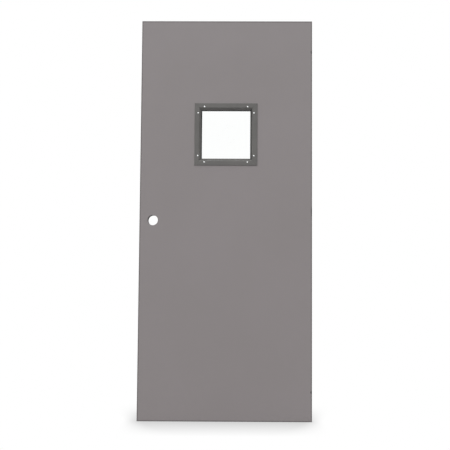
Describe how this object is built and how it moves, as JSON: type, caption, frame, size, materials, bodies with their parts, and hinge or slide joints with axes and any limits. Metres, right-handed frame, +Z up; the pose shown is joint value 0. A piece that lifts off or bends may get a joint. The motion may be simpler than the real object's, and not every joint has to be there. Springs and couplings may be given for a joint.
{
  "type": "hollow metal door leaf with vision lite",
  "caption": "Flush steel door leaf with a square vision lite, cross bore and latch bore for a cylindrical lock, and mortised hinge seats on its edge.",
  "frame": {"origin": "on the flat seat of the bottom hinge, at the middle of the hinge's height", "axes": "+Z up, +X out of the hinge edge, -Y out of the push face that the picture shows"},
  "size_m": [0.908, 0.0525, 2.111],
  "materials": {
    "primer_grey": "satin",
    "lite_grey": "satin",
    "plain_steel": "matte",
    "core_paper": "matte",
    "clear_glass": "clear",
    "black_tape": "matte"
  },
  "bodies": {
    "root": {"front_face_sheet": "primer_grey", "back_face_sheet": "primer_grey", "top_end_channel": "primer_grey", "bottom_end_channel": "primer_grey", "honeycomb_core": "core_paper", "lock_reinforcement": "plain_steel", "latch_front_plate": "plain_steel", "hinge_plate_top": "plain_steel", "hinge_plate_middle": "plain_steel", "hinge_plate_bottom": "plain_steel", "cutout_channel_top": "plain_steel", "front_lite_top": "lite_grey", "rear_lite_top": "lite_grey", "cutout_channel_hinge_side": "plain_steel", "front_lite_hinge_side": "lite_grey", "rear_lite_hinge_side": "lite_grey", "cutout_channel_bottom": "plain_steel", "front_lite_bottom": "lite_grey", "rear_lite_bottom": "lite_grey", "cutout_channel_lock_side": "plain_steel", "front_lite_lock_side": "lite_grey", "rear_lite_lock_side": "lite_grey", "glass_pane": "clear_glass", "glazing_tape_front": "black_tape", "glazing_tape_rear": "black_tape", "setting_blocks": "black_tape"}
  },
  "joints": []
}
